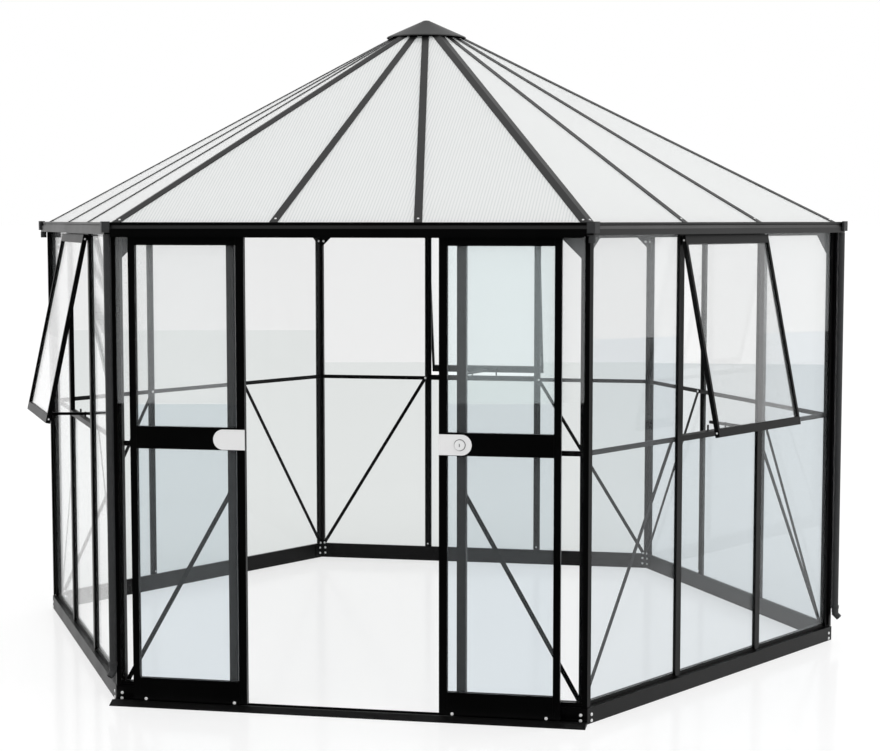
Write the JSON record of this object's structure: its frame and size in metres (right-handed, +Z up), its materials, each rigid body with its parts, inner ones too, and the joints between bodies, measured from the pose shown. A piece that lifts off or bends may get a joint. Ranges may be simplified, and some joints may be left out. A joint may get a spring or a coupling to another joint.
{
  "type": "hexagonal glass greenhouse",
  "caption": "Six-sided glass greenhouse with a black aluminium frame, twin-wall sheet roof, sliding double doors and top-hung vents.",
  "frame": {"origin": "plan centre of the hexagon at ground level", "axes": "+Z up, the door wall faces -Y, +X to the right seen from the doors"},
  "size_m": [3.8824, 3.5525, 2.8554],
  "materials": {
    "black_aluminium": "satin",
    "roof_aluminium": "satin",
    "glass": "gloss",
    "twin_wall_sheet": "satin",
    "handle_plate": "satin",
    "nylon": "satin"
  },
  "bodies": {
    "house": {"base_rails": "black_aluminium", "base_corner_plates": "black_aluminium", "door_sill_track": "black_aluminium", "corner_posts": "black_aluminium", "door_jambs": "black_aluminium", "wall_bars": "black_aluminium", "window_sills": "black_aluminium", "girts": "black_aluminium", "braces": "black_aluminium", "eaves_rails": "black_aluminium", "corner_gussets": "black_aluminium", "gutters": "black_aluminium", "gutter_corners": "black_aluminium", "downpipes": "black_aluminium", "pipe_clips": "black_aluminium", "door_head_track": "black_aluminium", "window_hinge_rails": "black_aluminium", "window_stiles": "black_aluminium", "window_rails": "black_aluminium", "window_stays": "black_aluminium", "hip_bars": "roof_aluminium", "roof_bars": "roof_aluminium", "crown_hub": "roof_aluminium", "crown_cap": "roof_aluminium", "front_glass": "glass", "front_right_glass": "glass", "back_right_glass": "glass", "back_glass": "glass", "back_left_glass": "glass", "front_left_glass": "glass", "window_panes": "glass", "front_roof_sheets": "twin_wall_sheet", "front_right_roof_sheets": "twin_wall_sheet", "back_right_roof_sheets": "twin_wall_sheet", "back_roof_sheets": "twin_wall_sheet", "back_left_roof_sheets": "twin_wall_sheet", "front_left_roof_sheets": "twin_wall_sheet"},
    "left_door": {"left_door_stiles": "black_aluminium", "left_door_rails": "black_aluminium", "left_door_panes": "glass", "left_door_rollers": "nylon", "left_door_handle": "handle_plate"},
    "right_door": {"right_door_stiles": "black_aluminium", "right_door_rails": "black_aluminium", "right_door_panes": "glass", "right_door_rollers": "nylon", "right_door_handle": "handle_plate"}
  },
  "joints": [
    {"name": "left_door_slide", "type": "slide", "parent": "house", "child": "left_door", "axis": [1, 0, 0], "range_m": [0, 0.389]},
    {"name": "right_door_slide", "type": "slide", "parent": "house", "child": "right_door", "axis": [-1, 0, 0], "range_m": [0, 0.373]}
  ]
}
